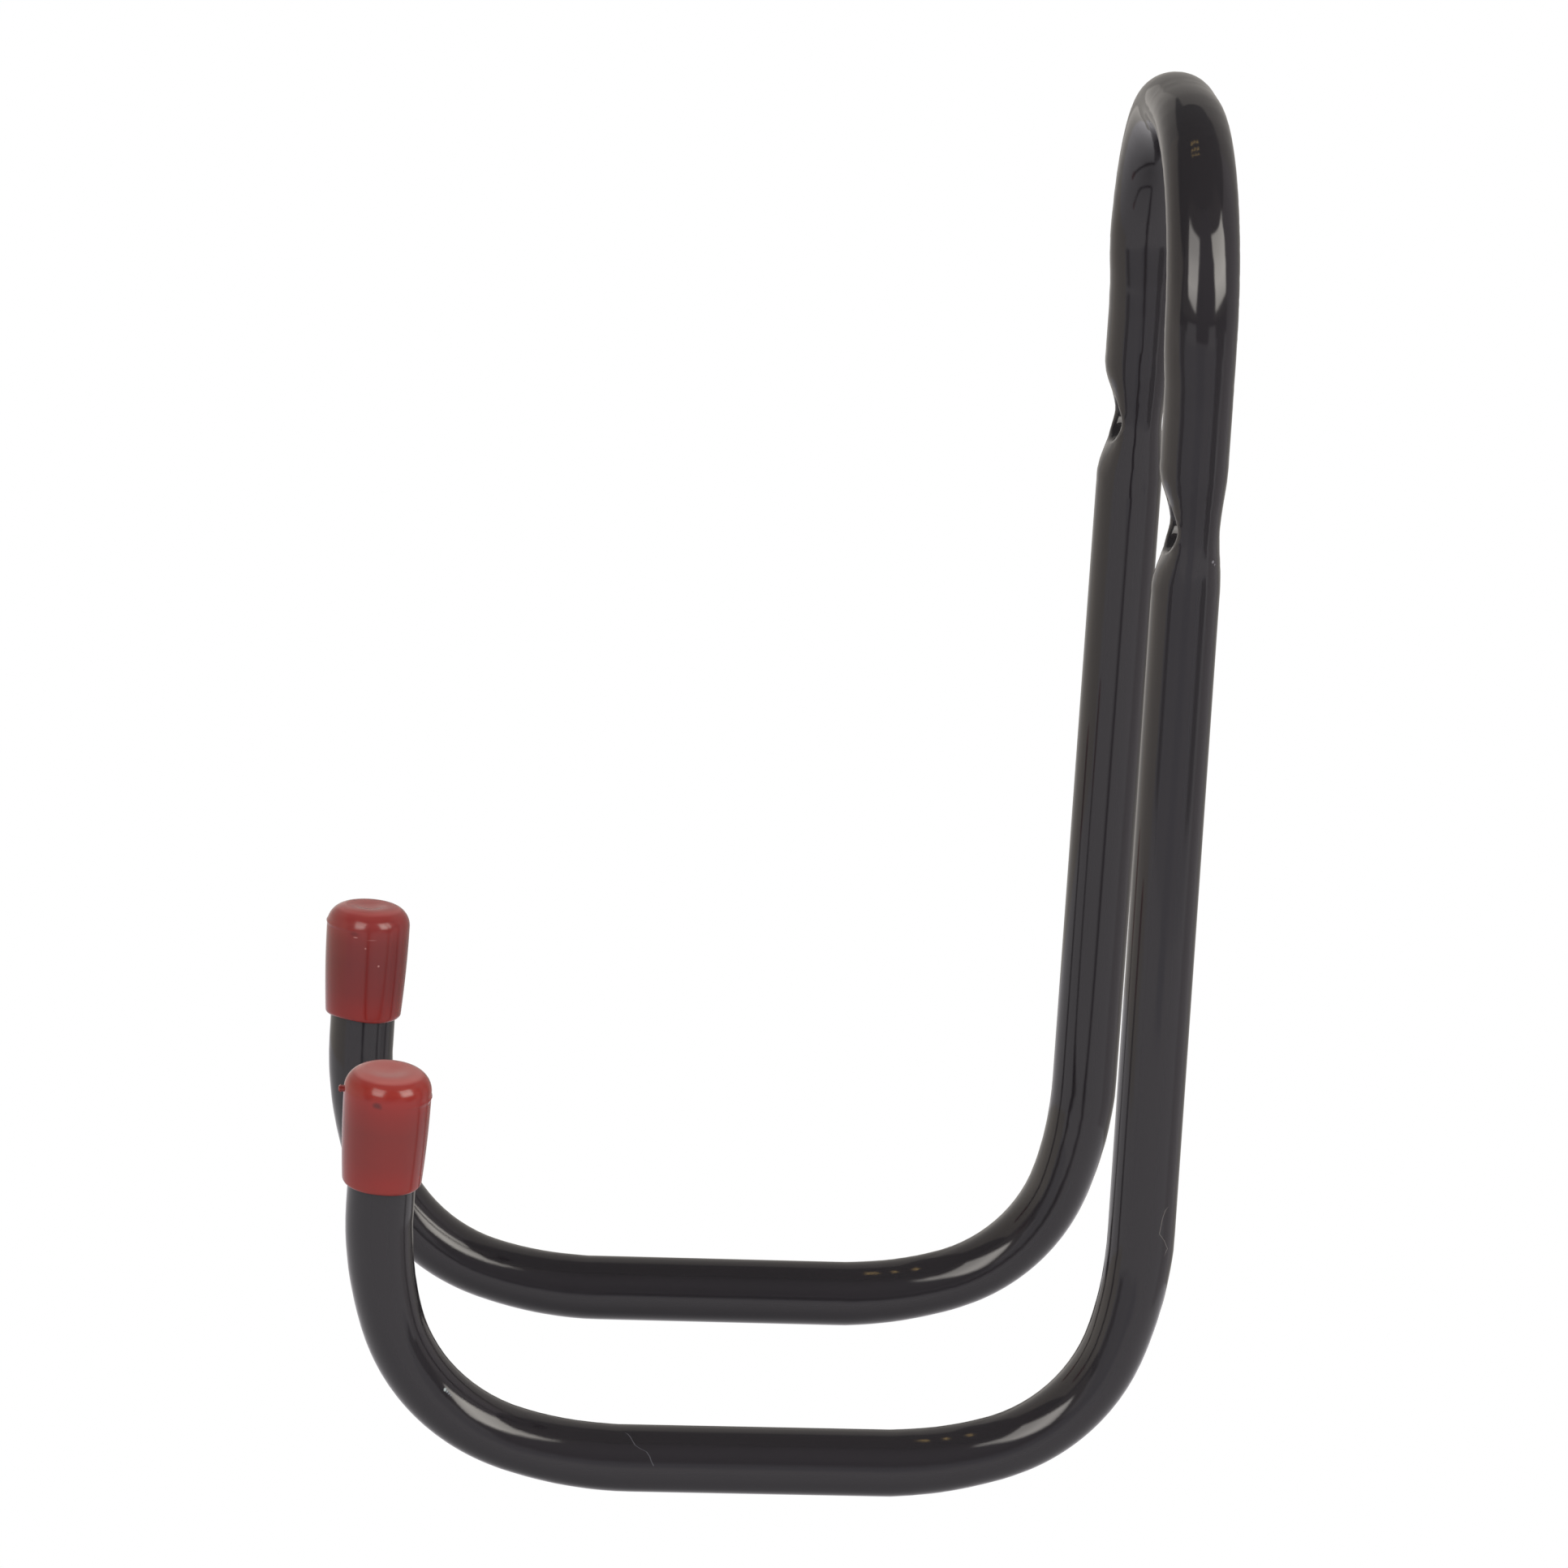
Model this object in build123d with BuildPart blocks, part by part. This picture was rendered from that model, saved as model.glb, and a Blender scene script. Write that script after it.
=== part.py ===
from build123d import *
import os
from math import cos, pi, radians, sin, sqrt, tan

# Double storage hook: one steel tube bent into two hooks joined over the top, with a pressed and
# drilled screw seat in each leg, and a vinyl cap on each tip. Millimetres, +Z up. X runs along the
# wall, the wall is the plane Y = 0 and the room is towards -Y. The origin lies on the wall plane,
# midway between the two screw holes. The right half is modelled, and the left half mirrors it.

# Tube
tube_diameter = 12.7
tube_wall = 1.2

# Course of the tube's centreline. Widths are from one side's centreline to the other's.
hole_spacing = 82.5         # at the screw holes
foot_width = 91.8           # where the legs meet the arms
arm_end_width = 93.2        # where the arms meet the tips
leg_length = 252.7          # from the top run down to the arms
arm_reach = 144.7           # from the legs out to the tips
tip_rise = 74.0             # from the arms up to the ends of the tube
tip_splay = 2.8             # degrees, outwards
tip_lean = 1.1              # degrees, back towards the wall

# Bends. Each lower bend tightens from a gentle lead-in to its full radius and eases out again. A
# bend flattens the tube: its inside and outside draw in, and its sides bulge out. The top bend
# bulges into the room only, since its back stays on the wall plane.
top_bend_radius = 36.1
back_bend_radius = 33.2
front_bend_radius = 36.7
bend_lead_radius = 72.8
bend_lead_angle = 18.0      # degrees, at each end of a lower bend
top_bend_draw = 0.5         # how far the inside and the outside draw in
top_bend_spread = 0.4       # how far each side bulges out
top_bend_fade = 0.22        # share of the course over which the leg turns round again
top_bend_run_out = 12.0     # how much of the straight leg is still flattened
lower_bend_draw = 0.4
lower_bend_spread = 0.5
lower_bend_fade = 0.35      # share of the bend, at each end
bend_stations = 16          # spans between the sections of a bend

# Screw seat, pressed into the straight of each leg
hole_drop = 69.1            # from the top run down to the holes
hole_diameter = 5.2
seat_length = 23.0          # how much of the leg the press tool reaches
seat_margin = 3.0           # round tube kept at each end of the pressed stretch
front_press = 3.1           # how far the front of the tube goes in
back_press = 0.85           # how far the back of the tube goes in
seat_spread = 0.5           # how far each side bulges out
seat_stations = 10          # spans between the sections of the pressed stretch
section_points = 24         # points round one section
dish_depth = 4.6            # from the pressed front to the dish's floor
dish_mouth_diameter = 8.8
dish_floor_diameter = 6.2
dish_floor_round = 0.9
dish_rim_round = 1.2

# Vinyl cap
cap_bore_depth = 19.0
cap_crown = 3.4             # thickness over the tube's end
cap_mouth_wall = 1.05
cap_shoulder_wall = 1.7
cap_shoulder_round = 3.9
cap_rim_round = 0.9
cap_dimple = 0.4            # how far the top sinks in at its middle

# Places worked out from the sizes above
tube_radius = tube_diameter / 2
line_depth = -tube_radius
foot_height = hole_drop - leg_length
top_middle = Vector(0, line_depth, hole_drop)
hole_centre = Vector(hole_spacing / 2, line_depth, 0)
foot_corner = Vector(foot_width / 2, line_depth, foot_height)
top_corner = hole_centre + (foot_corner - hole_centre) * (hole_drop / foot_height)
arm_corner = Vector(arm_end_width / 2, line_depth - arm_reach, foot_height)
tip_slope = Vector(tan(radians(tip_splay)), tan(radians(tip_lean)), 1)
tube_end = arm_corner + tip_slope * tip_rise
leg_way = (foot_corner - top_corner).normalized()
top_way = Vector(1, 0, 0)
top_setback = top_bend_radius * tan(radians(top_way.get_angle(leg_way)) / 2)
leg_top = top_corner + leg_way * top_setback
top_bend = [top_middle, top_corner - top_way * top_setback, leg_top, leg_top + leg_way * top_bend_run_out]
seat_reach = seat_length / 2 + seat_margin
seat_top = hole_centre - leg_way * seat_reach
seat_foot = hole_centre + leg_way * seat_reach
seat_across = Vector(0, 1, 0).cross(-leg_way)
pressed_front = front_press - tube_diameter
hole_foot = Vector(hole_centre.X, 0, 0)
punch_length = tube_diameter
tip_way = tip_slope.normalized()
tip_side = tip_way.cross(Vector(1, 0, 0)).normalized()


def eased_bend(before, corner, after, radius):
    """The four ends of the three arcs that round off a corner of the centreline."""
    way_in = (corner - before).normalized()
    way_out = (after - corner).normalized()
    turn = radians(way_in.get_angle(way_out))
    lead = radians(bend_lead_angle)
    side = (way_out - way_in * way_out.dot(way_in)).normalized()
    along, aside, heading = 0.0, 0.0, 0.0
    places = [(along, aside)]
    arcs = ((bend_lead_radius, lead), (radius, turn - 2 * lead), (bend_lead_radius, lead))
    for bend_radius, angle in arcs:
        along += bend_radius * (sin(heading + angle) - sin(heading))
        aside += bend_radius * (cos(heading) - cos(heading + angle))
        heading += angle
        places.append((along, aside))
    setback = along - aside / tan(turn)
    start = corner - way_in * setback
    return [start + way_in * step + side * shift for step, shift in places]


back_bend = eased_bend(seat_foot, foot_corner, arm_corner, back_bend_radius)
front_bend = eased_bend(foot_corner, arm_corner, tube_end, front_bend_radius)

straight_runs = (
    (top_bend[-1], seat_top),
    (seat_foot, back_bend[0]),
    (back_bend[-1], front_bend[0]),
    (front_bend[-1], tube_end),
)


def bend_course(places, way_in):
    """The centreline of a bend as one wire, through the ends of its parts."""
    with BuildLine() as course:
        for start, end in zip(places, places[1:]):
            if (end - start).get_angle(way_in) < 0.01:
                part = Line(start, end)
            else:
                part = TangentArc(start, end, tangent=way_in)
            way_in = part % 1
    return course.wire()


def top_bite(share):
    """How flat the top bend is, from 1 at the middle of the hook to 0 where the leg is round."""
    return sin(pi / 2 * min(1, (1 - share) / top_bend_fade)) ** 2


def lower_bite(share):
    """How flat a lower bend is, from 0 at either end to 1 in between."""
    return sin(pi / 2 * min(1, share / lower_bend_fade, (1 - share) / lower_bend_fade)) ** 2


def bent_run(course, radius, bite_at, draw, spread, lean):
    """One bend of the tube, lofted as a solid of this radius through its flattened sections."""
    across = (course % 0).cross(course % 1).normalized()
    with BuildPart() as bent:
        for index in range(bend_stations + 1):
            share = index / bend_stations
            place = course.position_at(course.length * share, PositionMode.LENGTH)
            way = course.tangent_at(course.length * share, PositionMode.LENGTH)
            bite = bite_at(share)
            with BuildSketch(Plane(place + lean * bite, x_dir=across, z_dir=way)):
                if bite > 0.001:
                    Ellipse(radius + spread * bite, radius - draw * bite)
                else:
                    Circle(radius)
        loft()
    return bent.part


arm_way = (arm_corner - foot_corner).normalized()
top_lean = Vector(0, -top_bend_spread, 0)
no_lean = Vector(0, 0, 0)
bends = (
    (bend_course(top_bend, top_way), top_bite, top_bend_draw, top_bend_spread, top_lean),
    (bend_course(back_bend, leg_way), lower_bite, lower_bend_draw, lower_bend_spread, no_lean),
    (bend_course(front_bend, arm_way), lower_bite, lower_bend_draw, lower_bend_spread, no_lean),
)


def press_share(station):
    """How deep the press tool bites at a distance from the hole along the leg, from 0 to 1."""
    return cos(pi * station / seat_length) ** 2


def pressed_section(radius, share):
    """Points round a tube of this radius where the tool bites to this share of its depth."""
    points = []
    for index in range(section_points):
        angle = 2 * pi * index / section_points
        depth = sin(angle)
        press = back_press if depth > 0 else front_press
        across = (radius + seat_spread * share) * cos(angle)
        points.append((across, radius * depth - press * share * depth ** 3))
    return points


def pressed_seat(radius):
    """The stretch of one leg that is pressed, as a solid that starts from a tube of this radius."""
    with BuildPart() as seat:
        for index in range(-1, seat_stations + 2):
            station = seat_length * (index / seat_stations - 0.5)
            if index < 0:
                station = -seat_reach
            if index > seat_stations:
                station = seat_reach
            place = hole_centre - leg_way * station
            with BuildSketch(Plane(place, x_dir=seat_across, z_dir=-leg_way)):
                if 0 < index < seat_stations:
                    with BuildLine():
                        Spline(*pressed_section(radius, press_share(station)), periodic=True)
                    make_face()
                else:
                    Circle(radius)
        loft()
    return seat.part


def dish_punch(allowance):
    """The round punch that sinks the dish, larger all round by an allowance."""
    slope = (dish_mouth_diameter - dish_floor_diameter) / 2 / dish_depth
    floor = pressed_front + dish_depth + allowance
    back = pressed_front - punch_length
    mouth_radius = dish_mouth_diameter / 2 + allowance * sqrt(1 + slope ** 2)
    floor_radius = mouth_radius - slope * (dish_depth + allowance)
    back_radius = mouth_radius + slope * punch_length
    with BuildPart() as punch:
        with BuildSketch(Plane(hole_foot)) as profile:
            with BuildLine():
                Polyline((0, floor), (floor_radius, floor), (back_radius, back), (0, back), close=True)
            make_face()
            nose = profile.vertices().group_by(Axis.Y)[-1].sort_by(Axis.X)[-1]
            fillet(nose, radius=dish_floor_round + allowance)
        revolve(axis=Axis(hole_foot, (0, 1, 0)))
    return punch.part


def half_course(radius, allowance, rim_round):
    """The right half of the tube as a solid of this radius, pressed and dished for its screw."""
    with BuildPart() as half:
        for start, end in straight_runs:
            with BuildSketch(Plane(start, z_dir=end - start)):
                Circle(radius)
            extrude(amount=(end - start).length)
        for bend in bends:
            add(bent_run(bend[0], radius, *bend[1:]))
        add(pressed_seat(radius))
        add(dish_punch(allowance), mode=Mode.SUBTRACT)
        if rim_round > 0:
            rim = half.edges(Select.LAST).sort_by(SortBy.LENGTH)[-1]
            fillet(rim, radius=rim_round)
    return half.part


outer_half = half_course(tube_radius, 0, dish_rim_round)
bore_half = half_course(tube_radius - tube_wall, tube_wall, 0)

# The bent tube, open at both tips
with BuildPart() as hook_tube:
    add(outer_half)
    add(bore_half, mode=Mode.SUBTRACT)
    with BuildSketch(Plane(hole_foot, x_dir=(1, 0, 0), z_dir=(0, -1, 0))):
        Circle(hole_diameter / 2)
    extrude(amount=tube_diameter, mode=Mode.SUBTRACT)
    mirror(about=Plane.YZ)

# The cap on the right tip: the tube's end meets the bottom of its bore
mouth_radius = tube_radius + cap_mouth_wall
shoulder_radius = tube_radius + cap_shoulder_wall
shoulder_height = cap_crown - cap_shoulder_round
crown_radius = shoulder_radius - cap_shoulder_round
rim_top = (mouth_radius, cap_rim_round - cap_bore_depth)
rim_foot = (mouth_radius - cap_rim_round, -cap_bore_depth)
dimple_foot = (0, cap_crown - cap_dimple)

with BuildPart() as end_cap_right:
    with BuildSketch(Plane(tube_end, x_dir=tip_side, z_dir=tip_side.cross(tip_way))):
        with BuildLine():
            Polyline(dimple_foot, (0, 0), (tube_radius, 0), (tube_radius, -cap_bore_depth), rim_foot)
            JernArc(rim_foot, (1, 0), cap_rim_round, 90)
            TangentArc((shoulder_radius, shoulder_height), rim_top, tangent=(0, -1))
            JernArc((shoulder_radius, shoulder_height), (0, 1), cap_shoulder_round, 90)
            TangentArc(dimple_foot, (crown_radius, cap_crown), tangent=(1, 0))
        make_face()
    revolve(axis=Axis(tube_end, tip_way))

with BuildPart() as end_cap_left:
    add(mirror(end_cap_right.part, about=Plane.YZ))

os.makedirs("parts", exist_ok=True)
hook_tube.part.label = "hook_tube"
end_cap_right.part.label = "end_cap_right"
end_cap_left.part.label = "end_cap_left"
for piece in (hook_tube, end_cap_right, end_cap_left):
    export_step(piece.part, f"parts/{piece.part.label}.step")
    print(piece.part.label, round(piece.part.volume, 1), piece.part.is_valid)
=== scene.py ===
from math import atan2, cos, exp, pi, radians, sin, sqrt, tan

import bpy
from mathutils import Euler, Matrix, Vector


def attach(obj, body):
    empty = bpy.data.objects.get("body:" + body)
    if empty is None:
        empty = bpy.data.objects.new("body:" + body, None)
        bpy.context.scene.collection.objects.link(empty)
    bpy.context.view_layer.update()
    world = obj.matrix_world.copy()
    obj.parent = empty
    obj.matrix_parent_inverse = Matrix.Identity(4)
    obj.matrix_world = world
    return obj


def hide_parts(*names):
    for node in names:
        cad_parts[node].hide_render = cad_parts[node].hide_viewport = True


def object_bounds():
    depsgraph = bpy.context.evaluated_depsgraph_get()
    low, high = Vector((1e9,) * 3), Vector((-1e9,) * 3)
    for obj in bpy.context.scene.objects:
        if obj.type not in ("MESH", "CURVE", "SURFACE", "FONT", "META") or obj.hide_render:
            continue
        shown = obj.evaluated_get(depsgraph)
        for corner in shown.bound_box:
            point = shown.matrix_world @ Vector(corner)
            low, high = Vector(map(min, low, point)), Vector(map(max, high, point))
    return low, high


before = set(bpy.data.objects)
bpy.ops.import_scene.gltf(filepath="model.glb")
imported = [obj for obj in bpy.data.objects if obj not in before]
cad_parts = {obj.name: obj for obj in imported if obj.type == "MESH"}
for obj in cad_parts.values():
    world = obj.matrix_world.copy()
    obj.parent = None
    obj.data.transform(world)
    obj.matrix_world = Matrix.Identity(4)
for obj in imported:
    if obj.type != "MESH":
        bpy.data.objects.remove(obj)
cad_low, cad_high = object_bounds()

MM = 0.001

# Tube and tips, as the frame has them, in millimetres
TUBE_RADIUS = 6.35
TIP_END = Vector((50.219, -149.629, -109.6))    # where the right tube ends, under its cap
TIP_SPLAY = 2.8                                 # degrees, outwards
TIP_LEAN = 1.1                                  # degrees, back towards the wall
TIP_WAY = Vector((tan(radians(TIP_SPLAY)), tan(radians(TIP_LEAN)), 1)).normalized()
SEAT_REACH = 14.0                               # how far a screw seat's rim goes up and down from its hole

# Powder coat, in millimetres
PEEL_WIDTH = 3.2                                # one wave of the orange peel
PEEL_DEPTH = 0.02
FLOW_AT_SEATS = 0.1                             # how widely the melting coat evens out what is under it
FLOW_ON_BENDS = 1.8
FLOW_BLEND = 6.0                                # the length beyond a seat in which one becomes the other

# Vinyl cap, in millimetres. Heights are from the tube's end, and up is out of the tip.
CAP_BORE = 19.0
CAP_CROWN = 3.4
CAP_MOUTH = TUBE_RADIUS + 1.1
CAP_SHOULDER = TUBE_RADIUS + 1.8
CAP_SHOULDER_ROUND = 3.9
CAP_RIM_ROUND = 0.9
CAP_DIMPLE = 0.42
CAP_SEGMENTS = 128
MOUTH_WAVE_REACH = 2.2                          # how far up the wall the mouth's waves go
LEDGE_DEPTH = 0.16                              # how far the mould's thin ledge stands out
LEDGE_WIDTH = 0.3
NIB_RADIUS = 0.62
NIB_HEIGHT = -1.0
NIB_STEPS = ((0.3, 0.95), (0.35, 1.15), (0.25, 0.75), (0.1, 0.5))       # length, and growth in width

# Marks. A spot and a fibre of lint are at full strength over this share of their width.
SPOT_CORE = 0.4
LINT_CORE = 0.3
LINT_DOWN = Vector((0.288, 0.0297, -0.9572))    # the way that lint lies on the hook's right-hand side
LINT_SIDE = Vector((0.0845, 0.9948, 0.0562))
LINT_SPAN = 16.0                                # the width in which it drifts, in millimetres

# Camera
VIEW_AZIMUTH = 84.19
VIEW_ELEVATION = 16.5
VIEW_ROLL = 3.36
VIEW_DISTANCE = 1.55097
VIEW_TARGET = Vector((0, -0.0743, -0.0639))
VIEW_LENS = 187.2
VIEW_SENSOR = 36.0

# Studio, in metres
ROOM_LEVEL = 0.17                               # how bright it is beyond the cards, in reflections
CARD_STEPS = 24                                 # faces along each side of a curved card
LAMP_UP = 1.565                                 # the lamp's place, from the middle of the hook
LAMP_BACK = 0.256                               # away from the camera
LAMP_OUT = 0.184                                # away from the wall
LAMP_DEPTH = 0.24
LAMP_WIDTH = 0.36
LAMP_CELLS = 5                                  # bulbs and gaps along each side of the lamp
BULB_SLIMNESS = (0.75, 0.5)                     # a bulb's depth and width, as shares of its cell's
BULB_STRENGTH = 7.0
FLOOR_SIZE = 12.0
FLOOR_DROP = 0.25                               # how far the floor lies under the arms
FLOOR_MIDDLE = -0.08                            # the place under the hook, out from the wall
FLOOR_GREEN = 0.97                              # the paper's green, as a share of its red and blue
# floor brightness in reflections by distance from under the hook: painted shade, dimmer close under it
FLOOR_SHADE_LEVELS = ((0.0, 0.38), (0.13, 0.55), (0.27, 0.72), (0.6, 0.84), (1.0, 0.84))


def linear(hex_colour):
    """An sRGB hex colour as the linear one that Blender's sockets take."""
    channels = [int(hex_colour[place:place + 2], 16) / 255 for place in (1, 3, 5)]
    return tuple(c / 12.92 if c <= 0.04045 else ((c + 0.055) / 1.055) ** 2.4 for c in channels) + (1.0,)


def add_node(tree, kind, settings=None, links=None):
    """One node, with its properties and socket values from settings, and its inputs fed by links."""
    node = tree.nodes.new(kind)
    for name, value in (settings or {}).items():
        if isinstance(name, int) or name in node.inputs:
            node.inputs[name].default_value = value
        else:
            setattr(node, name, value)
    for name, source in (links or {}).items():
        tree.links.new(source, node.inputs[name])
    return node


def set_stops(ramp, stops):
    """Gives a colour ramp its stops, each a position and a colour with its alpha, in linear values."""
    while len(ramp.elements) < len(stops):
        ramp.elements.new(0.5)
    for element, (position, colour) in zip(ramp.elements, stops):
        element.position = position
        element.color = colour


def new_material(name):
    """An empty material and its tree, with the output node ready."""
    material = bpy.data.materials.new(name)
    material.use_nodes = True
    material.node_tree.nodes.clear()
    return material, material.node_tree, add_node(material.node_tree, "ShaderNodeOutputMaterial")


def spot(tree, place, middle, radii, strength):
    """How much a small mark covers: strength in its middle, and nothing beyond its radii. In millimetres."""
    offset = add_node(
        tree, "ShaderNodeVectorMath", {"operation": "SUBTRACT", 1: Vector(middle) * MM}, {0: place})
    shares = add_node(
        tree, "ShaderNodeVectorMath", {"operation": "DIVIDE", 1: Vector(radii) * MM},
        {0: offset.outputs["Vector"]})
    reach = add_node(tree, "ShaderNodeVectorMath", {"operation": "LENGTH"}, {0: shares.outputs["Vector"]})
    return add_node(
        tree, "ShaderNodeMapRange",
        {"From Min": 1.0, "From Max": SPOT_CORE, "To Min": 0.0, "To Max": strength},
        {"Value": reach.outputs["Value"]}).outputs["Result"]


def lint(tree, place, start, length, course, half_width, strength):
    """How much a fine fibre of lint covers. It hangs down the coat from start, and course says how far it
    drifts sideways at each share of its length. In millimetres."""
    offset = add_node(
        tree, "ShaderNodeVectorMath", {"operation": "SUBTRACT", 1: Vector(start) * MM}, {0: place})
    along = add_node(
        tree, "ShaderNodeVectorMath", {"operation": "DOT_PRODUCT", 1: LINT_DOWN / (length * MM)},
        {0: offset.outputs["Vector"]})
    aside = add_node(
        tree, "ShaderNodeVectorMath", {"operation": "DOT_PRODUCT", 1: LINT_SIDE / (LINT_SPAN * MM)},
        {0: offset.outputs["Vector"]})
    path = add_node(tree, "ShaderNodeValToRGB", links={"Fac": along.outputs["Value"]})
    set_stops(path.color_ramp, [
        (share, (drift / LINT_SPAN + 0.5,) * 3 + (0.0 if share in (0.0, 1.0) else 1.0,))
        for share, drift in course])
    centred = add_node(tree, "ShaderNodeMath", {"operation": "ADD", 1: 0.5}, {0: aside.outputs["Value"]})
    apart = add_node(
        tree, "ShaderNodeMath", {"operation": "SUBTRACT"}, {0: centred.outputs[0], 1: path.outputs["Color"]})
    away = add_node(tree, "ShaderNodeMath", {"operation": "ABSOLUTE"}, {0: apart.outputs[0]})
    cover = add_node(
        tree, "ShaderNodeMapRange",
        {"From Min": half_width / LINT_SPAN, "From Max": LINT_CORE * half_width / LINT_SPAN,
         "To Min": 0.0, "To Max": strength},
        {"Value": away.outputs[0]})
    between_ends = add_node(
        tree, "ShaderNodeMath", {"operation": "MULTIPLY"},
        {0: cover.outputs["Result"], 1: path.outputs["Alpha"]})
    middle = Vector(start) + LINT_DOWN * length / 2
    from_middle = add_node(
        tree, "ShaderNodeVectorMath", {"operation": "DISTANCE", 1: middle * MM}, {0: place})
    nearby = add_node(
        tree, "ShaderNodeMath", {"operation": "LESS_THAN", 1: 0.9 * length * MM},
        {0: from_middle.outputs["Value"]})
    return add_node(
        tree, "ShaderNodeMath", {"operation": "MULTIPLY"},
        {0: between_ends.outputs[0], 1: nearby.outputs[0]}).outputs[0]


def marked(tree, under, marks):
    """A colour with its marks over it: each mark is how much it covers, and its own colour."""
    for cover, colour in marks:
        settings = {"data_type": "RGBA", 7: linear(colour)}
        links = {0: cover}
        if isinstance(under, tuple):
            settings[6] = under
        else:
            links[6] = under
        under = add_node(tree, "ShaderNodeMix", settings, links).outputs[2]
    return under


# Fibres of lint on the coat: start, length, course, half width, strength and colour
COAT_LINT = (
    ((48.41, -102.61, -177.63), 7.5,
     ((0.0, 0.5), (0.05, 1.1), (0.11, 1.54), (0.31, 2.48), (0.39, 3.39), (0.47, 4.62), (0.59, 5.23),
      (0.71, 5.53), (0.87, 6.14), (1.0, 6.14)), 0.12, 0.24, "#8d8f98"),
    ((49.28, -2.14, -129.64), 9.58,
     ((0.0, 0.0), (0.06, -0.63), (0.22, -1.24), (0.38, -1.53), (0.54, -1.82), (0.68, -0.86),
      (0.84, -0.19), (0.9, -0.5), (1.0, -0.8)), 0.1, 0.25, "#a09c97"),
)

# Specks on the near leg, then a nick on the near front bend, painted as its pale highlight and short streak:
# middle, radii, strength and colour
COAT_SPECKS_AND_NICK_HIGHLIGHT = (
    ((46.4, -2.41, -5.12), (0.7, 0.36, 0.36), 0.6, "#8b8b92"),
    ((46.2, -1.95, -5.75), (0.7, 0.2, 0.3), 0.5, "#8b8b92"),
    # painted highlight: the pale glint and streak where light catches the nick, fading along the bend
    ((53.11, -136.6, -168.1), (0.8, 0.36, 0.4), 0.75, "#b4c0c2"),
    ((53.08, -136.2, -168.5), (0.8, 0.26, 0.26), 0.6, "#939da4"),
    ((53.06, -135.85, -168.9), (0.8, 0.24, 0.24), 0.5, "#848d96"),
    ((53.03, -135.5, -169.25), (0.8, 0.22, 0.22), 0.4, "#757d86"),
)


def gloss_powder_coat():
    """Polyester powder coat, sprayed dry on the bent tube and baked: near-black, glossy, with a faint orange
    peel. Melting, it flows and evens out the bends, but stays crisp at the rims of the screw seats. It carries
    lint and specks as thin pale marks, and a painted highlight with a short streak at a nick on the near front
    bend."""
    material, tree, output = new_material("gloss_powder_coat")
    place = add_node(tree, "ShaderNodeTexCoord").outputs["Object"]
    marks = [(lint(tree, place, *fibre), colour) for *fibre, colour in COAT_LINT]
    # the specks, and the painted highlight at the nick
    marks += [(spot(tree, place, *mark), colour) for *mark, colour in COAT_SPECKS_AND_NICK_HIGHLIGHT]
    peel = add_node(
        tree, "ShaderNodeTexNoise",
        {"Scale": 1 / (PEEL_WIDTH * MM), "Detail": 2.0, "Roughness": 0.45}, {"Vector": place})
    parts = add_node(tree, "ShaderNodeSeparateXYZ", links={"Vector": place})
    from_hole = add_node(tree, "ShaderNodeMath", {"operation": "ABSOLUTE"}, {0: parts.outputs["Z"]})
    radius = add_node(
        tree, "ShaderNodeMapRange",
        {"From Min": SEAT_REACH * MM, "From Max": (SEAT_REACH + FLOW_BLEND) * MM,
         "To Min": FLOW_AT_SEATS * MM, "To Max": FLOW_ON_BENDS * MM},
        {"Value": from_hole.outputs[0]})
    flow = add_node(tree, "ShaderNodeBevel", {"samples": 8}, {"Radius": radius.outputs["Result"]})
    bump = add_node(
        tree, "ShaderNodeBump",
        {"Strength": 0.08, "Distance": PEEL_DEPTH * MM},
        {"Height": peel.outputs["Fac"], "Normal": flow.outputs["Normal"]})
    shader = add_node(
        tree, "ShaderNodeBsdfPrincipled",
        {"Roughness": 0.05, "IOR": 1.5},
        {"Base Color": marked(tree, linear("#201e21"), marks), "Normal": bump.outputs["Normal"]})
    tree.links.new(shader.outputs["BSDF"], output.inputs["Surface"])
    return material


def on_side(vector, side):
    """A place or direction of the right tip, as the tip on this side has it: 1 is right and -1 is left."""
    return Vector((side * vector.x, vector.y, vector.z))


def dipped_vinyl(name, side, stops, marks):
    """Soft PVC cap, dip-moulded in red. The stops give its colour at heights above the mouth: duller along the
    body, brighter towards the mouth and the shoulder, and pale at the crown, which is painted reflection of the
    bright room behind. The marks are scuffs and dust from handling, and on the left cap the painted shade of a
    crease."""
    material, tree, output = new_material(name)
    place = add_node(tree, "ShaderNodeTexCoord").outputs["Object"]
    way = on_side(TIP_WAY, side)
    end_height = (on_side(TIP_END, side) * MM).dot(way)
    height = add_node(tree, "ShaderNodeVectorMath", {"operation": "DOT_PRODUCT", 1: way}, {0: place})
    share = add_node(
        tree, "ShaderNodeMapRange",
        {"From Min": end_height - CAP_BORE * MM, "From Max": end_height + CAP_CROWN * MM},
        {"Value": height.outputs["Value"]})
    ramp = add_node(tree, "ShaderNodeValToRGB", links={"Fac": share.outputs["Result"]})
    set_stops(
        ramp.color_ramp, [(level / (CAP_BORE + CAP_CROWN), linear(colour)) for level, colour in stops])
    covers = [(spot(tree, place, *mark), colour) for *mark, colour in marks]
    shader = add_node(
        tree, "ShaderNodeBsdfPrincipled",
        {"Roughness": 0.18, "IOR": 1.45},
        {"Base Color": marked(tree, ramp.outputs["Color"], covers)})
    tree.links.new(shader.outputs["BSDF"], output.inputs["Surface"])
    return material


def start_shape(name):
    """Names the primitive that was just added and opens it for editing, with all of it selected."""
    shape = bpy.context.object
    shape.name = name
    shape.data.name = name
    bpy.ops.object.mode_set(mode="EDIT")
    bpy.ops.mesh.select_all(action="SELECT")
    return shape


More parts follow.
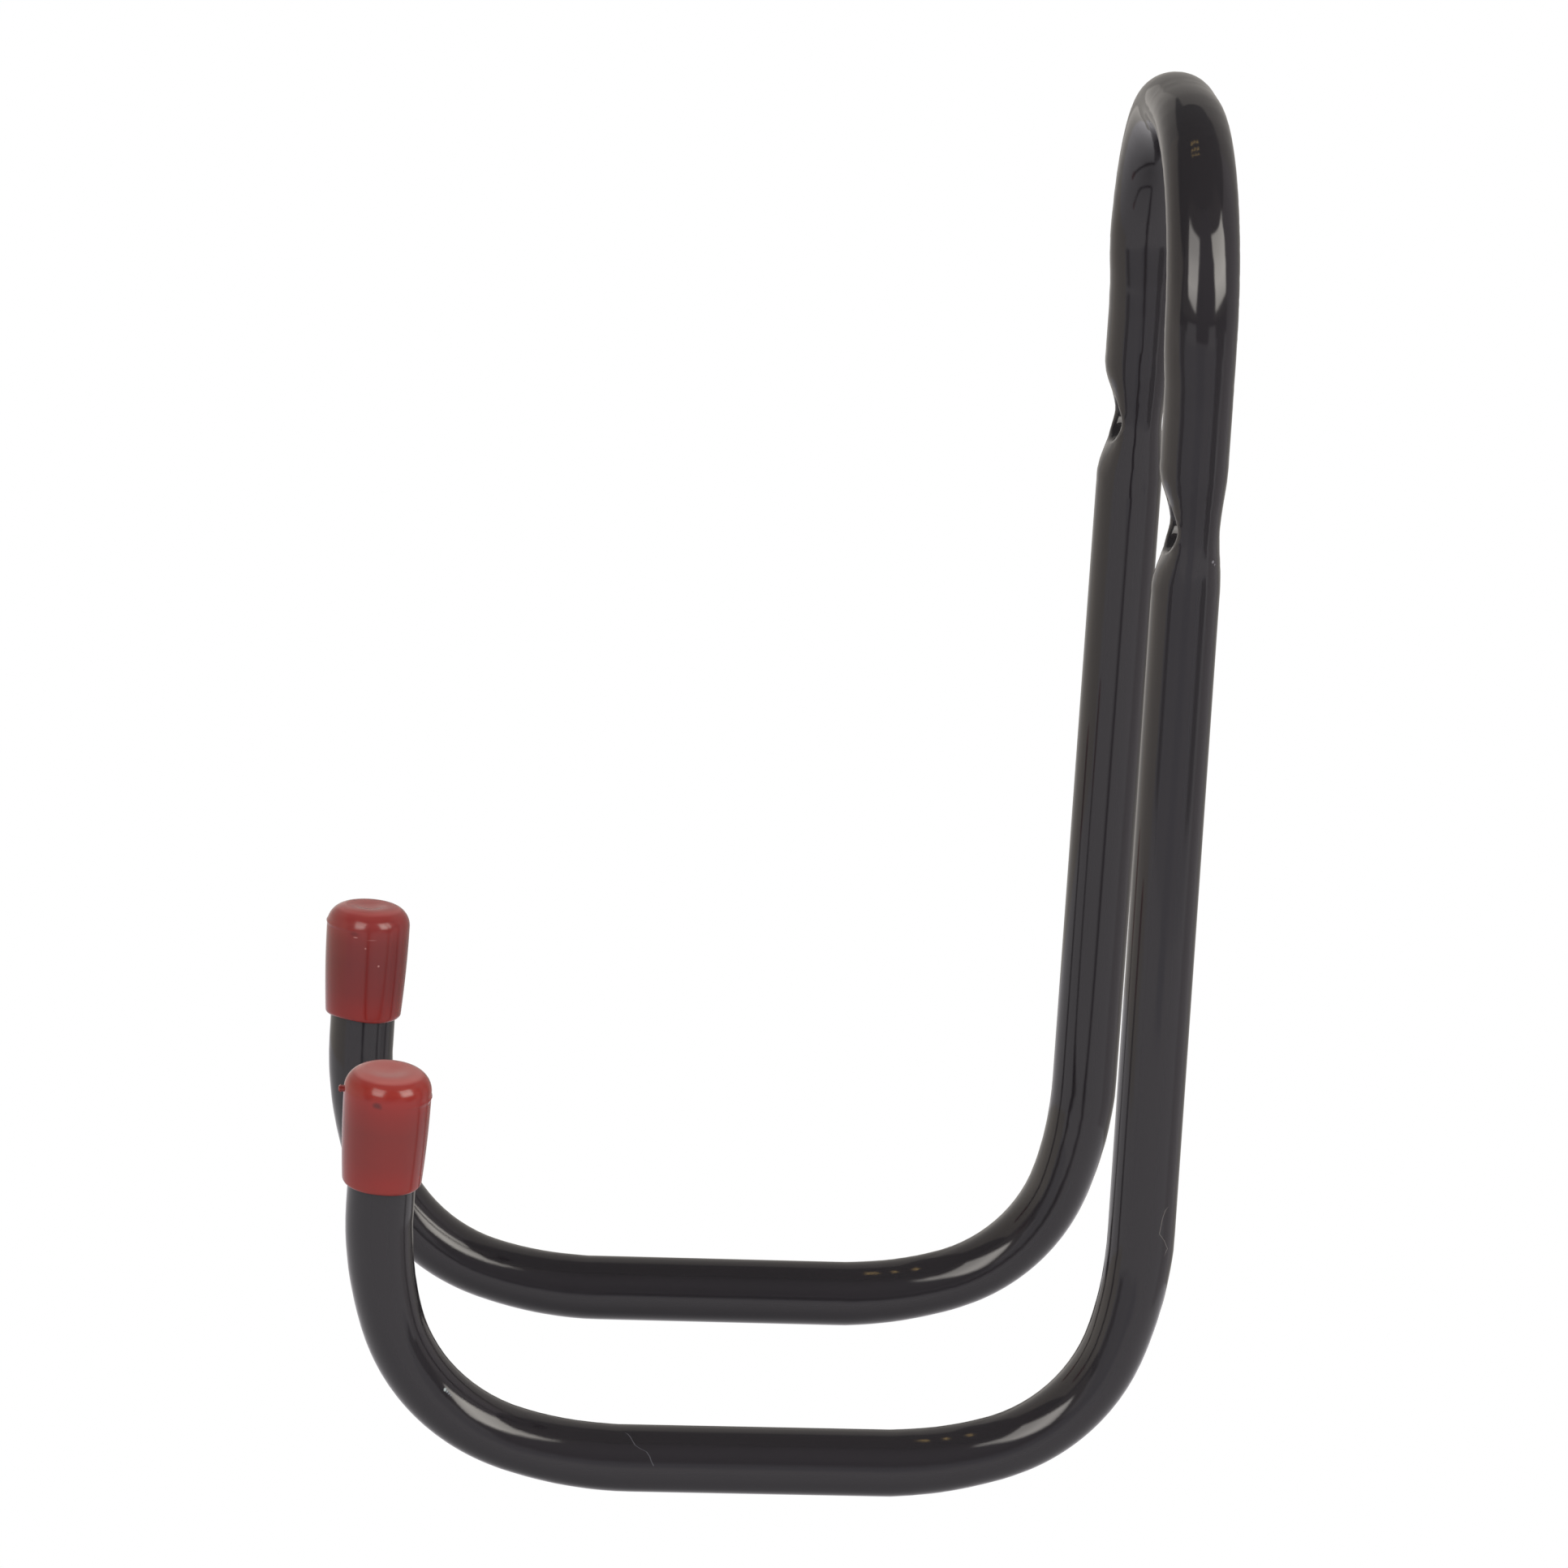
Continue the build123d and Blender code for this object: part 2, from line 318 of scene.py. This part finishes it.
def deselect_everything():
    bpy.ops.object.select_all(action="DESELECT")


def select_faces(shape, wanted):
    """In edit mode, selects the faces that are wanted and no others."""
    bpy.ops.mesh.select_mode(type="FACE")
    bpy.ops.mesh.select_all(action="DESELECT")
    bpy.ops.object.mode_set(mode="OBJECT")
    for face in shape.data.polygons:
        face.select = wanted(face)
    bpy.ops.object.mode_set(mode="EDIT")


def cap_profile():
    """The half section of the cap, as radius and height, from its bore's floor round the mouth to the crown."""
    rim_steps = 6
    body_steps = 40
    shoulder_steps = 24
    crown_steps = 6
    foot = CAP_RIM_ROUND - CAP_BORE
    shoulder_height = CAP_CROWN - CAP_SHOULDER_ROUND
    crown_radius = CAP_SHOULDER - CAP_SHOULDER_ROUND
    points = [(TUBE_RADIUS, 0.0), (TUBE_RADIUS, foot)]
    for step in range(rim_steps + 1):
        angle = pi / 2 * step / rim_steps
        points.append((
            CAP_MOUTH - CAP_RIM_ROUND + CAP_RIM_ROUND * sin(angle),
            foot - CAP_RIM_ROUND * cos(angle)))
    for step in range(1, body_steps + 1):
        share = 1 - (1 - step / body_steps) ** 1.6      # closer together towards the shoulder and its ledge
        points.append((
            CAP_MOUTH + (CAP_SHOULDER - CAP_MOUTH) * (1 - (1 - share) ** 2),
            foot + (shoulder_height - foot) * share))
    for step in range(1, shoulder_steps + 1):
        angle = pi / 2 * step / shoulder_steps
        points.append((
            CAP_SHOULDER - CAP_SHOULDER_ROUND * (1 - cos(angle)),
            shoulder_height + CAP_SHOULDER_ROUND * sin(angle)))
    for step in range(1, crown_steps):
        share = 1 - step / crown_steps
        points.append((crown_radius * share, CAP_CROWN - CAP_DIMPLE * (1 - share ** 2) ** 2))
    return points


def turned_shell(name):
    """The cap's shell, turned about the Z axis from its half section. The disc that it starts as becomes
    the bore's floor, at the origin."""
    profile = cap_profile()
    deselect_everything()
    bpy.ops.mesh.primitive_circle_add(
        vertices=CAP_SEGMENTS, radius=TUBE_RADIUS * MM, fill_type="NGON", location=(0, 0, 0))
    shell = start_shape(name)
    bpy.ops.mesh.select_mode(type="EDGE")
    for (radius, height), (next_radius, next_height) in zip(profile, profile[1:]):
        bpy.ops.mesh.extrude_edges_move(
            TRANSFORM_OT_translate={"value": (0, 0, (next_height - height) * MM)})
        growth = next_radius / radius
        bpy.ops.transform.resize(value=(growth, growth, 1), center_override=(0, 0, next_height * MM))
    bpy.ops.mesh.merge(type="CENTER")
    bpy.ops.mesh.select_all(action="SELECT")
    bpy.ops.mesh.normals_make_consistent(inside=False)
    bpy.ops.object.mode_set(mode="OBJECT")
    return shell


def make_uneven(cap, wave, ledge_turn, ledge_height):
    """Gives the mouth its waves, each a size, a count round the cap and a start, and the outer wall the
    mould's thin ledge, on one side."""
    for vertex in cap.data.vertices:
        radius = sqrt(vertex.co.x ** 2 + vertex.co.y ** 2) / MM
        height = vertex.co.z / MM
        turn = atan2(vertex.co.y, vertex.co.x)
        near_mouth = exp(-((height + CAP_BORE) / MOUTH_WAVE_REACH) ** 2)
        lift = sum(size * cos(count * turn + start) for size, count, start in wave)
        vertex.co.z += lift * near_mouth * MM
        if radius > (TUBE_RADIUS + CAP_MOUTH) / 2:
            near_ledge = exp(-((height - ledge_height) / LEDGE_WIDTH) ** 2)
            outwards = LEDGE_DEPTH * near_ledge * max(0.0, cos(turn - ledge_turn)) ** 1.5
            vertex.co.x += outwards * MM * cos(turn)
            vertex.co.y += outwards * MM * sin(turn)


def pull_nib(cap, turn):
    """Draws out of the cap's side the small stub that the dipping left."""
    outwards = Vector((cos(turn), sin(turn), 0))
    middle = outwards * CAP_SHOULDER * MM + Vector((0, 0, NIB_HEIGHT * MM))
    bpy.ops.object.mode_set(mode="EDIT")
    select_faces(cap, lambda face: (face.center - middle).length < NIB_RADIUS * MM)
    for length, growth in NIB_STEPS:
        bpy.ops.mesh.extrude_region_move(TRANSFORM_OT_translate={"value": outwards * length * MM})
        middle = middle + outwards * length * MM
        bpy.ops.transform.resize(value=(growth, growth, growth), center_override=middle)
    bpy.ops.object.mode_set(mode="OBJECT")


def vinyl_cap(name, side, wave, ledge, nib_turn):
    """One dip-moulded cap on its tip, with a wavy mouth, a thin mould ledge and, on one, a stub."""
    cap = turned_shell(name)
    make_uneven(cap, wave, *ledge)
    if nib_turn is not None:
        pull_nib(cap, nib_turn)
    tilt = Vector((0, 0, 1)).rotation_difference(on_side(TIP_WAY, side))
    cap.data.transform(Matrix.Translation(on_side(TIP_END, side) * MM) @ tilt.to_matrix().to_4x4())
    bpy.ops.object.shade_smooth_by_angle(angle=radians(40))
    return cap


# Finishes
coat = gloss_powder_coat()
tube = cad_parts["hook_tube"]
for slot in tube.material_slots:
    slot.material = coat

# Caps: the mouth's waves, the ledge's turn and height, the stub's turn, then the colour up the cap, whose top
# stops are painted reflection, and its marks, each by its middle, radii, strength and colour
CAPS = (
    ("vinyl_cap_right", "end_cap_right", 1, ((0.22, 1, 2.6), (0.1, 3, 0.4)), (pi / 2, -1.3), radians(-95.6),
     ((0.0, "#802822"), (2.5, "#7d2621"), (6.0, "#742723"), (12.0, "#712824"), (16.0, "#7b2824"),
      # the last stops, at the crown, are painted reflection of the bright room behind
      (18.5, "#842925"), (20.8, "#882a22"), (21.6, "#8d3733"), (22.0, "#a65f5c")),
     (((57.89, -151.9, -110.8), (1.0, 1.1, 0.75), 0.65, "#3d2022"),
      ((57.7, -151.3, -111.2), (1.0, 0.6, 0.5), 0.4, "#3d2022"))),
    ("vinyl_cap_left", "end_cap_left", -1, ((0.3, 1, 0.9), (0.14, 3, 2.0)), (-pi / 2, 0.0), None,
     ((0.0, "#7a1e1a"), (2.5, "#761e1a"), (6.0, "#6b201e"), (12.0, "#662322"), (16.0, "#6d2725"),
      # the last stops, at the crown, are painted reflection of the bright room behind
      (18.0, "#772b29"), (20.8, "#83302e"), (21.6, "#8d3a38"), (22.0, "#a05250")),
     # a crease near the mouth: painted shade above it, then a thin pale line along it, and a fainter pale line
     # beside it
     (((-42.7, -152.6, -109.9), (1.0, 1.3, 0.5), 0.35, "#441414"),
      ((-42.7, -152.4, -110.55), (1.0, 0.55, 0.14), 0.8, "#b98580"),
      ((-42.1, -149.2, -110.9), (1.0, 1.2, 0.14), 0.4, "#a06e69"),
      ((-42.07, -150.4, -112.6), (0.5, 0.24, 0.24), 0.6, "#b5807b"),
      ((-42.21, -147.7, -116.2), (0.5, 0.26, 0.26), 0.7, "#bd8884"))),
)
for name, node, side, wave, ledge, nib_turn, stops, marks in CAPS:
    cap = vinyl_cap(name, side, wave, ledge, nib_turn)
    cap.data.materials.append(dipped_vinyl("dipped_vinyl_" + node.split("_")[-1], side, stops, marks))
    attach(cap, "root")
    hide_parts(node)

# Camera
camera_data = bpy.data.cameras.new("view")
camera_data.lens = VIEW_LENS
camera_data.sensor_width = VIEW_SENSOR
camera_data.clip_start = 0.1
camera_data.clip_end = 50.0
camera = bpy.data.objects.new("view", camera_data)
bpy.context.scene.collection.objects.link(camera)
aim = Euler((radians(90 - VIEW_ELEVATION), 0, radians(VIEW_AZIMUTH))).to_matrix()
aim = aim @ Matrix.Rotation(radians(VIEW_ROLL), 3, "Z")
camera.matrix_world = Matrix.Translation(VIEW_TARGET + aim.col[2] * VIEW_DISTANCE) @ aim.to_4x4()
bpy.context.scene.camera = camera
bpy.context.scene.view_settings.view_transform = "Standard"

# World: white to the camera, and a dim studio in reflections
world = bpy.data.worlds.new("studio")
bpy.context.scene.world = world
world.use_nodes = True
tree = world.node_tree
tree.nodes.clear()
rays = add_node(tree, "ShaderNodeLightPath")
level = add_node(
    tree, "ShaderNodeMapRange", {"To Min": ROOM_LEVEL, "To Max": 1.0}, {"Value": rays.outputs["Is Camera Ray"]})
white = add_node(tree, "ShaderNodeBackground", {"Color": (1, 1, 1, 1)}, {"Strength": level.outputs["Result"]})
add_node(tree, "ShaderNodeOutputWorld", links={"Surface": white.outputs["Background"]})

# Softboxes and paper panels round the hook, each by its corners as the hook sees them: foot left, foot
# right, top left and top right, in degrees from the camera's side towards the wall and degrees up.
# Then how many metres away its foot and top are, its colour, and how bright it is from foot to top.
STUDIO = (
    ("softbox_room", (-37, 17), (-13, 14), (-51, 52), (-8, 49), (1.5, 1.0), "#fffaf4",
     (3.8, 5.2, 6.0, 5.2, 3.6)),
    ("softbox_room_rim", (-38, 16), (-12, 13), (-52, 53), (-7, 50), (1.54, 1.04), "#fffaf4", (1.6, 1.6)),
    ("softbox_wall", (41, 13), (71, 14), (35, 48), (78, 45), (1.5, 1.1), "#fffaf2",
     (4.6, 6.2, 7.2, 6.4, 4.8)),
    ("softbox_wall_rim", (40, 12), (72, 13), (34, 49), (79, 46), (1.54, 1.14), "#fffaf2", (1.6, 1.6)),
    ("between_boxes", (-8, -1), (33, -1), (-11, 62), (35, 62), (1.9, 1.9), "#fbf8ff", (0.2, 0.26, 0.32, 0.26)),
    ("around_boxes", (-56, 8), (80, 8), (-62, 62), (84, 62), (2.1, 2.1), "#fff9f6", (0.35, 0.35, 0.26)),
    ("table_front", (-62, -34), (66, -34), (-62, 1.5), (66, 1.5), (1.5, 1.5), "#fbf9ff", (0.85, 0.6)),
    ("table_edge_room", (-36, 0), (-8, 0), (-34, 7), (-9, 7), (1.45, 1.45), "#fffcff", (0.75, 0.7)),
    ("table_edge_wall", (24, 0), (44, 0), (25, 6), (42, 6), (1.45, 1.45), "#fffcff", (0.75, 0.7)),
    ("gap_room", (-56, -14), (-44, -14), (-56, 4), (-40, 4), (1.25, 1.25), "#fffcff", (0.3, 0.26)),
    ("gap_wall", (52, -13), (68, -13), (47, 8), (74, 8), (1.25, 1.25), "#fffcff", (0.28, 0.2)),
    ("camera_shade", (-4, -16), (18, -16), (-4, 1), (18, 1), (1.3, 1.3), "#f6f6ff", (0.66, 0.5)),
    ("panel_room", (-131, -60), (-61, -60), (-131, 49), (-61, 27), (1.1, 1.1), "#fff6ea",
     (0.6, 0.62, 0.78, 0.96, 0.72, 0.62, 0.54)),
    ("panel_room_end", (-172, -60), (-131, -60), (-172, 32), (-131, 49), (1.1, 1.1), "#fff9f2",
     (0.56, 0.58, 0.7, 0.8, 0.66, 0.54, 0.46)),
    ("panel_wall", (76, -55), (122, -55), (76, 45), (122, 46), (0.8, 0.8), "#fff8fb", (0.66, 0.5)),
    ("panel_behind", (122, -55), (191, -55), (122, 47), (191, 49), (0.8, 0.8), "#fff9f2", (0.42, 0.44)),
)


def towards(across, up):
    """The direction at these angles as the hook sees them, in degrees: across goes from the camera's side
    towards the wall."""
    turn = radians(VIEW_AZIMUTH + across)
    return Vector((sin(turn) * cos(radians(up)), -cos(turn) * cos(radians(up)), sin(radians(up))))


def studio_card(name, foot_left, foot_right, top_left, top_right, reach, colour, levels):
    """A curved card that fills these angles as the hook sees them. The camera doesn't see it."""
    deselect_everything()
    bpy.ops.mesh.primitive_grid_add(x_subdivisions=CARD_STEPS, y_subdivisions=CARD_STEPS, size=1)
    card = bpy.context.object
    card.name = name
    for vertex in card.data.vertices:
        foot = Vector(foot_left).lerp(Vector(foot_right), vertex.co.x + 0.5)
        top = Vector(top_left).lerp(Vector(top_right), vertex.co.x + 0.5)
        across, up = foot.lerp(top, vertex.co.y + 0.5)
        distance = reach[0] + (reach[1] - reach[0]) * (vertex.co.y + 0.5)
        vertex.co = VIEW_TARGET + distance * towards(across, up)
    heights = [vertex.co.z for vertex in card.data.vertices]
    material, tree, output = new_material(name)
    place = add_node(tree, "ShaderNodeTexCoord").outputs["Object"]
    parts = add_node(tree, "ShaderNodeSeparateXYZ", links={"Vector": place})
    share = add_node(
        tree, "ShaderNodeMapRange", {"From Min": min(heights), "From Max": max(heights)},
        {"Value": parts.outputs["Z"]})
    ramp = add_node(tree, "ShaderNodeValToRGB", links={"Fac": share.outputs["Result"]})
    brightest = max(levels)
    set_stops(ramp.color_ramp, [
        (index / (len(levels) - 1), (level / brightest,) * 3 + (1,)) for index, level in enumerate(levels)])
    strength = add_node(
        tree, "ShaderNodeMath", {"operation": "MULTIPLY", 1: brightest}, {0: ramp.outputs["Color"]})
    light = add_node(
        tree, "ShaderNodeEmission", {"Color": linear(colour)}, {"Strength": strength.outputs[0]})
    tree.links.new(light.outputs["Emission"], output.inputs["Surface"])
    card.data.materials.append(material)
    card.visible_camera = False
    card.visible_shadow = False


for row in STUDIO:
    studio_card(*row)


def in_gap(face):
    """Whether a face of the lamp's grid lies in a row or column between the bulbs."""
    return any(int((middle + 0.5) * LAMP_CELLS) % 2 == 1 for middle in face.center[:2])


# Ceiling lamp: nine warm bulbs in a square, high behind the hook, which show as tiny sparks on the coat
deselect_everything()
bpy.ops.mesh.primitive_grid_add(x_subdivisions=LAMP_CELLS, y_subdivisions=LAMP_CELLS, size=1)
lamp = start_shape("ceiling_lamp")
select_faces(lamp, in_gap)
bpy.ops.mesh.delete(type="FACE")
bpy.ops.object.mode_set(mode="OBJECT")
bulb_spacing = 2 / LAMP_CELLS
for vertex in lamp.data.vertices:
    for axis, slimness in enumerate(BULB_SLIMNESS):
        middle = bulb_spacing * round(vertex.co[axis] / bulb_spacing)
        vertex.co[axis] = middle + (vertex.co[axis] - middle) * slimness
    vertex.co = (
        VIEW_TARGET + towards(0, 0) * (LAMP_DEPTH * vertex.co.x - LAMP_BACK)
        + towards(90, 0) * (LAMP_WIDTH * vertex.co.y - LAMP_OUT) + Vector((0, 0, LAMP_UP)))
lamp_material, tree, output = new_material("warm_bulbs")
bulbs = add_node(tree, "ShaderNodeEmission", {"Color": linear("#ffd78c"), "Strength": BULB_STRENGTH})
tree.links.new(bulbs.outputs["Emission"], output.inputs["Surface"])
lamp.data.materials.append(lamp_material)
lamp.visible_camera = False
lamp.visible_shadow = False

# Floor, well under the hook, which hangs on a wall in use. It glows instead of being lit: its paper is white to
# the camera, and in reflections it carries painted shade, dimmer close under the hook: each level is given at
# its distance from there.
floor_height = cad_low.z - FLOOR_DROP
deselect_everything()
bpy.ops.mesh.primitive_plane_add(size=FLOOR_SIZE, location=(0, 0, 0))
floor = bpy.context.object
floor.name = "floor"
for vertex in floor.data.vertices:
    vertex.co.z = floor_height
floor_material, tree, output = new_material("floor_paper")
place = add_node(tree, "ShaderNodeTexCoord").outputs["Object"]
offset = add_node(
    tree, "ShaderNodeVectorMath", {"operation": "DISTANCE", 1: (0, FLOOR_MIDDLE, floor_height)}, {0: place})
floor_shade = add_node(tree, "ShaderNodeValToRGB", links={"Fac": offset.outputs["Value"]})
set_stops(floor_shade.color_ramp, [
    (distance, (level, FLOOR_GREEN * level, level, 1)) for distance, level in FLOOR_SHADE_LEVELS])
rays = add_node(tree, "ShaderNodeLightPath")
seen = add_node(
    tree, "ShaderNodeMix", {"data_type": "RGBA", 7: (1, 1, 1, 1)},
    {0: rays.outputs["Is Camera Ray"], 6: floor_shade.outputs["Color"]})
bright = add_node(tree, "ShaderNodeEmission", {"Strength": 1.0}, {"Color": seen.outputs[2]})
tree.links.new(bright.outputs["Emission"], output.inputs["Surface"])
floor.data.materials.append(floor_material)
